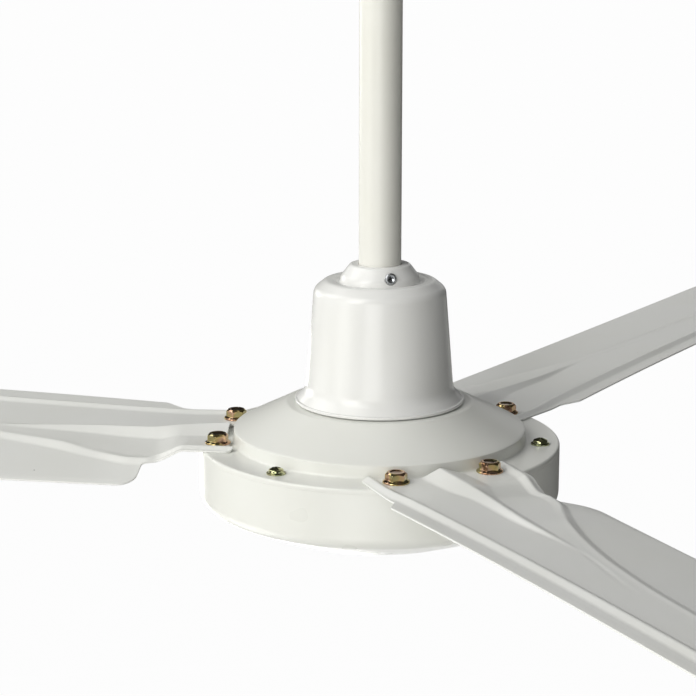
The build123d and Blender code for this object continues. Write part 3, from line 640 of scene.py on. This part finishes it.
# The lower one is the drum itself: straight wall, rounded heel, shallow bowl and a flat centre.
wall_r = drum_r - 2.8
lower = lathe("drum_casting", [
    (0, -58.5, 0), (52.0, -58.5, 12), (66.0, -56.6, 12), (92.0, -46.7, 300), (drum_r, -36.4, 9),
    (drum_r, seam_h - 0.05, 0.12), (wall_r, seam_h - 0.05, 0.4), (wall_r, -34.9, 6.2),
    (91.6, -44.1, 200), (66.6, -53.6, 10), (52.3, -55.6, 10), (26.5, -55.6, 2), (25.5, -38.0, 1),
    (bearing_r, -38.0, 0.4),
    (bearing_r, -50.8, 0.2), (14, -50.8, 0.3), (14, -55.5, 0.5), (0, -55.5, 0)], 224, closed=False)
lower.data.materials.append(housing_paint)
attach(lower, "rotor")
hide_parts("lower_cover")

# Blades: each one sheet of 1.2 mm steel, pressed with a middle rib that runs out, a bead behind the
# leading edge, and a step that swings across it; the root is flat and two bolts hold it to the rim.
tip_r = 711.0
sheet_gauge = 1.2
root_half = 48.8
root_arc_r, root_end_r = 97.3, 4.5
bolt_reach, bolt_side = 99.0, 30.7
bolt_hole_r = 4.3
edge_round = 0.35
blade_angles = [60, 180, 300]

# Feature lines of the pressing: (distance from the axis, offset, height) in mm. Offsets grow
# towards the trailing side, and the leading edge is the higher one.
feature_lines = {
    "leading_edge": [
        (78, -60, 1.2), (126, -57.5, 1.9), (141, -56.8, 3.0), (350, -49.6, 13.2), (713, -38, 23.0)],
    "bead_outer_foot": [
        (78, -48.3, 1.2), (108, -48.1, 1.2), (126, -46.9, 1.2), (141, -45.2, 1.9),
        (350, -38.6, 11.8), (713, -28, 21.5)],
    "bead_crest": [
        (78, -43.8, 3.5), (108, -43.6, 3.5), (126, -42.0, 3.6), (141, -39.8, 4.2),
        (350, -33.2, 13.7), (713, -22, 23.2)],
    "bead_inner_foot": [
        (78, -39.5, 1.2), (108, -39.3, 1.2), (126, -36.5, 1.2), (141, -35, 1.8),
        (350, -28.6, 11.2), (713, -17, 20.6)],
    "rib_leading_foot": [
        (78, -15, 1.2), (126, -10, 1.2), (149, -3, 0.8), (187, 0, 0.7), (252, 6, 2.5),
        (350, -8, 8.3), (713, -13, 20.0)],
    "rib_crest": [
        (78, -3.5, 7.6), (126, 2, 5.3), (149, 5, 3.7), (187, 4.5, 3.4), (252, 8, 2.45),
        (350, -5, 7.9), (713, -10, 19.6)],
    "rib_trailing_foot": [
        (78, 11, 1.2), (126, 17, 1.2), (141, 15.5, -2.0), (149, 15, -2.2), (187, 12.5, -0.6),
        (252, 10, 2.1), (350, -2, 7.5), (713, -7, 19.3)],
    "step_inner_foot": [
        (78, 39.4, 1.2), (118, 39.4, 1.2), (126, 39.9, -1.3), (134, 40.6, -4.2), (141, 45, -5.4),
        (149, 45, -5.4), (172, 37.6, -4.2), (201, 26.8, -1.2), (229, 20, 0.1), (287, 9, 3.5),
        (350, 3, 6.8), (713, -3, 19.0)],
    "step_crest": [
        (78, 44.5, 3.6), (118, 44.5, 3.6), (126, 44.8, 0.7), (134, 45.7, -2.8), (141, 50.2, -4.3),
        (149, 50.0, -4.6), (172, 42.6, -4.4), (201, 31.4, -1.3), (229, 24.1, -0.1), (287, 13, 3.3),
        (350, 7, 6.6), (713, 1, 18.8)],
    "step_outer_foot": [
        (78, 48.8, 1.2), (118, 48.8, 1.2), (126, 49.2, -2.3), (134, 50.6, -5.9), (141, 54.8, -7.5),
        (149, 55.2, -8.0), (172, 48.2, -7.2), (201, 38.2, -5.0), (229, 30.1, -3.1), (287, 19, 0.6),
        (350, 13, 4.2), (713, 7, 16.9)],
    "roll_start": [
        (78, 60, 1.2), (118, 60, 1.2), (126, 62, -4.0), (134, 68, -9.5), (141, 71.5, -12.4),
        (713, 90.4, 2.0)],
    "trailing_edge": [
        (78, 66, 1.2), (118, 66, 1.2), (126, 68, -5.0), (134, 73, -10.7), (141, 78.5, -14.4),
        (713, 97.4, 0.0)],
}
crease_half = 1.4


def smooth_line(line, reach):
    """A feature line's value at each reach, by a monotone curve through its points."""
    xs = np.array([p[0] for p in line], float)
    found = []
    for column in (1, 2):
        ys = np.array([p[column] for p in line], float)
        steps = np.diff(ys) / np.diff(xs)
        tangents = np.empty(len(xs))
        tangents[0], tangents[-1] = steps[0], steps[-1]
        for i in range(1, len(xs) - 1):
            before, after = steps[i - 1], steps[i]
            wide, near = xs[i] - xs[i - 1], xs[i + 1] - xs[i]
            same_way = before * after > 0
            a, b = 2 * near + wide, near + 2 * wide
            tangents[i] = (a + b) / (a / before + b / after) if same_way else 0
        cell = np.clip(np.searchsorted(xs, reach, "right") - 1, 0, len(xs) - 2)
        span = xs[cell + 1] - xs[cell]
        t = (reach - xs[cell]) / span
        found.append((2 * t ** 3 - 3 * t ** 2 + 1) * ys[cell]
                     + (t ** 3 - 2 * t ** 2 + t) * span * tangents[cell]
                     + (3 * t ** 2 - 2 * t ** 3) * ys[cell + 1]
                     + (t ** 3 - t ** 2) * span * tangents[cell + 1])
    return found


def area_under(offsets, heights, to):
    """Running integral of a section that is straight between its feature lines."""
    total = heights[0] * (np.minimum(to, offsets[0]) - offsets[0])
    for v0, v1, w0, w1 in zip(offsets, offsets[1:], heights, heights[1:]):
        part = np.clip(to - v0, 0, v1 - v0)
        total = total + w0 * part + (w1 - w0) / (v1 - v0) * part ** 2 / 2
    return total + heights[-1] * np.maximum(to - offsets[-1], 0)


def sheet_height(reach, offset):
    """Height of the sheet's upper face, with each crease pressed round."""
    lines = [smooth_line(line, reach) for line in feature_lines.values()]
    offsets = [line[0] for line in lines]
    heights = [line[1] for line in lines]
    ahead = area_under(offsets, heights, offset + crease_half)
    behind = area_under(offsets, heights, offset - crease_half)
    return (ahead - behind) / (2 * crease_half)


def blade_plan():
    """Outline of the blade and its outward directions, from the sides to the hollow root."""
    sides, sides_out = [], []
    for half, hand in ((root_half, -1), (root_half + 1, 1)):
        centre_y = half - root_end_r
        centre_x = math.sqrt((root_arc_r + root_end_r) ** 2 - centre_y ** 2)
        lean = math.atan2(centre_y, centre_x)
        turn = np.linspace(math.pi / 2, math.pi + lean, 12)
        away = np.stack((np.cos(turn), hand * np.sin(turn)), 1)
        sides.append(np.array((centre_x, hand * centre_y)) + away * root_end_r)
        sides_out.append(away)
    lead_x, trail_x = sides[0][0][0], sides[1][0][0]
    around, around_out = rounded([
        (lead_x, -root_half, 0), (138.5, -root_half, 6), (151, -56.4, 5), (tip_r, -38.2, 26),
        (tip_r, 97.2, 40), (143, 78.2, 15), (143, 54.4, 2), (134, 51.2, 8), (118, root_half + 1, 10),
        (trail_x, root_half + 1, 0)], closed=False, step=math.radians(6))
    start = math.atan2(*sides[1][-1][::-1])
    end = math.atan2(*sides[0][-1][::-1])
    sweep = np.linspace(start, end, 56)[1:-1]
    inward = -np.stack((np.cos(sweep), np.sin(sweep)), 1)
    points, normals = [around[0]], [around_out[0]]
    for a, b, direction in zip(around, around[1:], around_out[1:]):
        pieces = max(1, int(np.hypot(*(b - a)) // 3))
        for k in range(1, pieces + 1):
            points.append(a + (b - a) * k / pieces)
            normals.append(direction)
    points = np.concatenate((points, sides[1][1:], -inward * root_arc_r, sides[0][:0:-1]))
    normals = np.concatenate((normals, sides_out[1][1:], inward, sides_out[0][:0:-1]))
    return points, normals


def inside_by(points, loop, margin):
    """Which points lie inside a closed loop and at least a margin away from it."""
    x, y = points[:, 0], points[:, 1]
    inside = np.zeros(len(points), bool)
    clearance = np.full(len(points), np.inf)
    for (x0, y0), (x1, y1) in zip(loop, np.roll(loop, -1, 0)):
        crosses = (y0 > y) != (y1 > y)
        if y0 != y1:
            inside ^= crosses & (x < (x1 - x0) * (y - y0) / (y1 - y0) + x0)
        long = max((x1 - x0) ** 2 + (y1 - y0) ** 2, 1e-12)
        t = np.clip(((x - x0) * (x1 - x0) + (y - y0) * (y1 - y0)) / long, 0, 1)
        clearance = np.minimum(clearance, np.hypot(x - x0 - t * (x1 - x0), y - y0 - t * (y1 - y0)))
    return inside & (clearance > margin)


def pressing_points():
    """Points that follow the creases closely and the flats coarsely."""
    near_root = np.arange(88, 264, 2.0)
    to_tip = np.arange(268, tip_r, 9.0)
    reaches = np.concatenate((near_root, to_tip))
    lines = [smooth_line(line, reaches)[0] for line in feature_lines.values()]
    found = []
    for i, reach in enumerate(reaches):
        offsets = [lines[0][i], lines[-1][i]]
        for line in lines[1:-1]:
            offsets.extend(line[i] + crease_half * k / 2 for k in (-2, -1, 0, 1, 2))
        offsets = sorted(offsets)
        kept = [offsets[0]]
        for offset in offsets[1:]:
            if offset - kept[-1] > 0.4:
                pieces = math.ceil((offset - kept[-1]) / 6)
                kept.extend(kept[-1] + (offset - kept[-1]) * k / pieces for k in range(1, pieces))
                kept.append(offset)
        found.extend((reach, offset) for offset in kept)
    return np.array(found)


def sheet_normals(points):
    """Unit normals of the upper face, from the slope of its height."""
    step = 0.25
    x, y = points[:, 0], points[:, 1]
    along = sheet_height(x + step, y) - sheet_height(x - step, y)
    across = sheet_height(x, y + step) - sheet_height(x, y - step)
    normals = np.stack((-along / (2 * step), -across / (2 * step), np.ones(len(points))), 1)
    return normals / np.linalg.norm(normals, axis=1)[:, None]


plan, plan_outward = blade_plan()
rim_loop = plan - plan_outward * edge_round
around_hole = np.linspace(0, 2 * math.pi, 33)[:-1]
hole_loops = [np.stack((bolt_reach + bolt_hole_r * np.cos(around_hole),
                        side * bolt_side + bolt_hole_r * np.sin(around_hole)), 1) for side in (-1, 1)]
fill = pressing_points()
edge_clearance = 0.8
keep = inside_by(fill, rim_loop, edge_clearance)
for loop in hole_loops:
    keep &= np.hypot(*(fill - loop.mean(0)).T) > bolt_hole_r + edge_clearance
fill = fill[keep]
loops = [rim_loop, *hole_loops]
flat_points = np.concatenate((*loops, fill))
flat_edges, start = [], 0
for loop in loops:
    flat_edges.extend((start + k, start + (k + 1) % len(loop)) for k in range(len(loop)))
    start += len(loop)
solved = delaunay_2d_cdt([Vector(p) for p in flat_points], flat_edges, [], 2, 1e-6)
sheet_xy = np.array([tuple(v) for v in solved[0]])
sheet_faces = [tuple(face) for face in solved[2]]
new_index = {old: new for new, olds in enumerate(solved[3]) for old in olds}
upper_w = sheet_height(sheet_xy[:, 0], sheet_xy[:, 1])
upper_n = sheet_normals(sheet_xy)
count = len(sheet_xy)
sheet_verts = [np.column_stack((sheet_xy, w)) for w in (upper_w, upper_w - sheet_gauge)]
sheet_bends = [upper_n, -upper_n]
faces = []
for a, b, c in sheet_faces:
    pa, pb, pc = sheet_xy[[a, b, c]]
    if (pb[0] - pa[0]) * (pc[1] - pa[1]) - (pb[1] - pa[1]) * (pc[0] - pa[0]) < 0:
        b, c = c, b
    faces.append((a, b, c))
    faces.append((c + count, b + count, a + count))
total = 2 * count

edge_w = sheet_height(rim_loop[:, 0], rim_loop[:, 1])
edge_n = sheet_normals(rim_loop)
edge_flat = np.column_stack((plan_outward, np.zeros(len(plan))))
rows = [[new_index[k] for k in range(len(rim_loop))]]
for lean in (30, 60, 90, -90, -60, -30):
    s, c = math.sin(math.radians(abs(lean))), math.cos(math.radians(abs(lean)))
    xy = rim_loop + plan_outward * edge_round * s
    drop = edge_round * (1 - c)
    w = edge_w - drop if lean > 0 else edge_w - sheet_gauge + drop
    sheet_verts.append(np.column_stack((xy, w)))
    sheet_bends.append(edge_flat * s + edge_n * (c if lean > 0 else -c))
    rows.append(list(range(total, total + len(xy))))
    total += len(xy)
rows.append([new_index[k] + count for k in range(len(rim_loop))])
for high_row, low_row in zip(rows, rows[1:]):
    for k in range(len(high_row)):
        n = (k + 1) % len(high_row)
        faces.append((high_row[k], low_row[k], low_row[n], high_row[n]))
for loop in hole_loops:
    inward = np.column_stack((loop.mean(0) - loop, np.zeros(len(loop)))) / bolt_hole_r
    w = sheet_height(loop[:, 0], loop[:, 1])
    sheet_verts.extend((np.column_stack((loop, w)), np.column_stack((loop, w - sheet_gauge))))
    sheet_bends.extend((inward, inward))
    size = len(loop)
    for k in range(size):
        n = (k + 1) % size
        faces.append((total + n, total + size + n, total + size + k, total + k))
    total += 2 * size
sheet_verts = np.concatenate(sheet_verts)
sheet_bends = np.concatenate(sheet_bends)
sheet_bends /= np.linalg.norm(sheet_bends, axis=1)[:, None]

blade_paint = enamel("blade_enamel", (0.835, 0.84, 0.815), 0.32, 0.0, 0.08)
for number, degrees in enumerate(blade_angles, start=1):
    c, s = math.cos(math.radians(degrees)), math.sin(math.radians(degrees))
    swing = np.array(((c, -s, 0), (s, c, 0), (0, 0, 1)))
    mesh = bpy.data.meshes.new("blade_sheet_%d" % number)
    mesh.from_pydata((sheet_verts @ swing.T * MM + (0, 0, rim_z)).tolist(), [], faces)
    mesh.shade_smooth()
    mesh.normals_split_custom_set_from_vertices((sheet_bends @ swing.T).tolist())
    mesh.materials.append(blade_paint)
    sheet = put_in_scene("blade_sheet_%d" % number, mesh)
    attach(sheet, "rotor")
    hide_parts("blade_%d" % number)

# Blade bolts: six cold-formed flange bolts, 12 mm across flats with a dished top and a coned
# flange, yellow zinc plated. Each was tightened to its own angle. The tree sets them in place.
flange_r, flange_h, hex_half, head_top, head_land_r = 8.2, 1.0, 6.0, 6.6, 5.15
dish_r, dish_depth = 3.9, 0.75
blade_bolt_length = 12.6


def stacked_rings(name, rings, low_pole, high_pole):
    """A closed mesh from rings of equally many points, capped by a pole at each end."""
    size = len(rings[0])
    verts = [point for ring in rings for point in ring]
    verts.extend((low_pole, high_pole))
    faces = []
    for row in range(len(rings) - 1):
        for k in range(size):
            n = (k + 1) % size
            here, above = row * size, (row + 1) * size
            faces.append((here + k, here + n, above + n, above + k))
    top_row = (len(rings) - 1) * size
    for k in range(size):
        n = (k + 1) % size
        faces.append((n, k, len(verts) - 2))
        faces.append((top_row + k, top_row + n, len(verts) - 1))
    mesh = bpy.data.meshes.new(name)
    mesh.from_pydata((np.array(verts) * MM).tolist(), [], faces)
    mesh.shade_smooth()
    piece = put_in_scene(name, mesh)
    return piece


def hexagon_rings(half, corner_round):
    """Points of a hexagon with rounded corners, with their distance from the centre."""
    reach = half / math.cos(math.radians(30))
    corners = [(reach * math.cos(math.radians(a)), reach * math.sin(math.radians(a)), corner_round)
               for a in range(0, 360, 60)]
    outline, _ = rounded(corners, step=math.radians(15))
    filled = []
    for a, b in zip(outline, np.roll(outline, -1, 0)):
        pieces = 5 if np.hypot(*(b - a)) > 2 else 1
        filled.extend(a + (b - a) * k / pieces for k in range(pieces))
    return np.array(filled)


def weigh_normals(piece):
    """Keeps flats flat on a smooth-shaded piece, then applies the result."""
    weigh = piece.modifiers.new("weigh", "WEIGHTED_NORMAL")
    weigh.weight = 80
    keep_result(piece)


def flange_bolt():
    """One bolt that stands on z = 0, with its shank below."""
    hexagon = hexagon_rings(hex_half, 0.9)
    spread = np.hypot(*hexagon.T)
    around = hexagon / spread[:, None]

    def circle(r, h):
        return np.column_stack((around * r, np.full(len(around), h)))

    def on_hexagon(grow, heights):
        return np.column_stack((around * (spread + grow)[:, None], heights))

    foot = flange_h + (flange_r - spread) * 0.5
    chamfer = head_top - (spread - head_land_r) * 0.82
    tip, dish_floor = -blade_bolt_length, head_top - dish_depth
    rings = [
        circle(3.7, tip), circle(4.0, tip + 0.4), circle(4.0, 0), circle(flange_r - 0.25, 0),
        circle(flange_r, 0.2), circle(flange_r, flange_h - 0.2),
        circle(flange_r - 0.3, flange_h + 0.12), on_hexagon(0.35, foot),
        on_hexagon(0.08, foot + 0.12), on_hexagon(0, foot + 0.4),
        on_hexagon(0, chamfer - 0.12), on_hexagon(-0.1, chamfer + 0.02),
        circle(head_land_r + 0.15, head_top - 0.06), circle(head_land_r - 0.1, head_top),
        circle(dish_r + 0.35, head_top), circle(dish_r, head_top - 0.14),
        circle(dish_r - 0.6, head_top - dish_depth * 0.75), circle(dish_r - 1.2, dish_floor)]
    bolt = stacked_rings("flange_bolt", rings, (0, 0, tip), (0, 0, dish_floor))
    weigh_normals(bolt)
    # The dish's faces are marked for painted shade and dark reflection.
    dish_low = (head_top - 0.9) * MM
    in_dish = [float(face.center.z > dish_low and math.hypot(*face.center[:2]) < dish_r * MM)
               for face in bolt.data.polygons]
    bolt.data.attributes.new("recess_shade", "FLOAT", "FACE").data.foreach_set("value", in_dish)
    return bolt


def yellow_zinc(name, brown, rose, gold, olive, pale):
    """Yellow chromate over zinc: a thin bright film of five tones, lightly scuffed."""
    material, nodes, links, shader, where = new_finish(name, 1.0)
    film = noise(nodes, links, where, 130, 2, 0.6)
    tones = shades_of(nodes, links, film, (0.30, brown), (0.72, pale), (0.42, rose), (0.52, gold),
                      (0.62, olive))
    # Painted shade darkens the bolts' dishes and the screws' cross recesses.
    paint_recess_shade(nodes, links, tones, shader, 0.55)
    scuff = noise(nodes, links, where, 700, 4)
    vary_gloss(nodes, links, scuff, 0.05, 0.15, shader)
    grain(nodes, links, scuff, 0.12, 0.00012, shader)
    return material


def fastener_tree():
    """Geometry Nodes: copies one fastener to places round the axis, each turned at random."""
    tree = bpy.data.node_groups.new("fasteners_round_axis", "GeometryNodeTree")
    face = tree.interface
    sockets = (("Fastener", "Object"), ("Places", "Int"), ("Per Place", "Int"),
               ("First Angle", "Float"), ("Reach", "Float"), ("Side", "Float"), ("Height", "Float"),
               ("Turn", "Float"), ("Seed", "Int"), ("Finish", "Material"))
    face.new_socket("Geometry", in_out="OUTPUT", socket_type="NodeSocketGeometry")
    for label, kind in sockets:
        face.new_socket(label, in_out="INPUT", socket_type="NodeSocket" + kind)
    nodes, links = tree.nodes, tree.links
    given = nodes.new("NodeGroupInput")

    def math_node(operation, a, b):
        node = nodes.new("ShaderNodeMath")
        node.operation = operation
        for socket, value in zip(node.inputs, (a, b)):
            if isinstance(value, (int, float)):
                socket.default_value = value
            else:
                links.new(value, socket)
        return node.outputs[0]

    index = nodes.new("GeometryNodeInputIndex").outputs[0]
    per_place = given.outputs["Per Place"]
    place = math_node("FLOOR", math_node("DIVIDE", math_node("ADD", index, 0.5), per_place), 0)
    which = math_node("SUBTRACT", index, math_node("MULTIPLY", place, per_place))
    hand = math_node("SUBTRACT", math_node("MULTIPLY", which, 2), math_node("SUBTRACT", per_place, 1))
    pitch = math_node("DIVIDE", 2 * math.pi, given.outputs["Places"])
    angle = math_node("ADD", math_node("MULTIPLY", place, pitch), given.outputs["First Angle"])
    offset = nodes.new("ShaderNodeCombineXYZ")
    links.new(given.outputs["Reach"], offset.inputs["X"])
    links.new(math_node("MULTIPLY", hand, given.outputs["Side"]), offset.inputs["Y"])
    links.new(given.outputs["Height"], offset.inputs["Z"])
    swing = nodes.new("ShaderNodeVectorRotate")
    swing.rotation_type = "Z_AXIS"
    links.new(offset.outputs[0], swing.inputs["Vector"])
    links.new(angle, swing.inputs["Angle"])
    points = nodes.new("GeometryNodePoints")
    links.new(math_node("MULTIPLY", given.outputs["Places"], per_place), points.inputs["Count"])
    links.new(swing.outputs[0], points.inputs["Position"])
    chance = nodes.new("FunctionNodeRandomValue")
    chance.data_type = "FLOAT"
    links.new(math_node("MULTIPLY", given.outputs["Turn"], -1), chance.inputs["Min"])
    links.new(given.outputs["Turn"], chance.inputs["Max"])
    links.new(given.outputs["Seed"], chance.inputs["Seed"])
    yaw = nodes.new("ShaderNodeCombineXYZ")
    links.new(math_node("ADD", angle, chance.outputs["Value"]), yaw.inputs["Z"])
    to_turn = nodes.new("FunctionNodeEulerToRotation")
    links.new(yaw.outputs[0], to_turn.inputs[0])
    source = nodes.new("GeometryNodeObjectInfo")
    links.new(given.outputs["Fastener"], source.inputs["Object"])
    copy = nodes.new("GeometryNodeInstanceOnPoints")
    links.new(points.outputs[0], copy.inputs["Points"])
    links.new(source.outputs["Geometry"], copy.inputs["Instance"])
    links.new(to_turn.outputs[0], copy.inputs["Rotation"])
    realize = nodes.new("GeometryNodeRealizeInstances")
    links.new(copy.outputs[0], realize.inputs[0])
    finish = nodes.new("GeometryNodeSetMaterial")
    links.new(realize.outputs[0], finish.inputs["Geometry"])
    links.new(given.outputs["Finish"], finish.inputs["Material"])
    links.new(finish.outputs[0], nodes.new("NodeGroupOutput").inputs[0])
    return tree


def set_round_axis(name, tree, sizes):
    """Runs the fastener tree with its sizes and keeps the plain mesh that it makes."""
    holder = put_in_scene(name, bpy.data.meshes.new(name + "_points"))
    pattern = holder.modifiers.new("pattern", "NODES")
    pattern.node_group = tree
    for socket in tree.interface.items_tree:
        if socket.in_out == "INPUT":
            pattern[socket.identifier] = sizes[socket.name]
    keep_result(holder)
    return holder


round_axis = fastener_tree()
zinc_gold = yellow_zinc("bolt_yellow_zinc", (0.24, 0.13, 0.07), (0.66, 0.43, 0.30), (0.66, 0.48, 0.21),
                        (0.44, 0.39, 0.19), (0.76, 0.67, 0.44))
one_bolt = flange_bolt()
bolts = set_round_axis("blade_flange_bolts", round_axis, {
    "Fastener": one_bolt, "Places": 3, "Per Place": 2, "First Angle": math.radians(blade_angles[0]),
    "Reach": bolt_reach * MM, "Side": bolt_side * MM, "Height": rim_z + sheet_gauge * MM,
    "Turn": math.radians(30), "Seed": 11, "Finish": zinc_gold})
bpy.data.objects.remove(one_bolt)
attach(bolts, "rotor")
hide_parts("blade_bolts")

# Cover screws: three pan heads with a pressed washer face and a cross recess, midway between the
# blades. They pull the upper casting on to the drum and are plated like the bolts. The seed was
# picked so that the recesses are turned about as in the photograph.
cover_screw_reach = 102.8
one_screw = pan_head_screw("cover_screw", [
    (0, -10.5, 0), (2.5, -10.5, 0.3), (2.5, 0, 0.05), (6.0, 0, 0.15), (6.0, 0.9, 0.3),
    (4.75, 1.25, 0.25), (4.5, 2.8, 1.0), (2.0, 3.9, 1.4), (0, 3.9, 0)], (1.6, 6.4, 1.9, 3.9))
zinc_olive = yellow_zinc("screw_yellow_zinc", (0.10, 0.10, 0.05), (0.34, 0.33, 0.18),
                         (0.60, 0.60, 0.36), (0.30, 0.33, 0.17), (0.66, 0.68, 0.48))
screws = set_round_axis("cover_pan_screws", round_axis, {
    "Fastener": one_screw, "Places": 3, "Per Place": 1, "First Angle": 0.0,
    "Reach": cover_screw_reach * MM, "Side": 0.0, "Height": rim_z, "Turn": math.radians(45),
    "Seed": 27, "Finish": zinc_olive})
bpy.data.objects.remove(one_screw)
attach(screws, "rotor")
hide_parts("cover_screws")
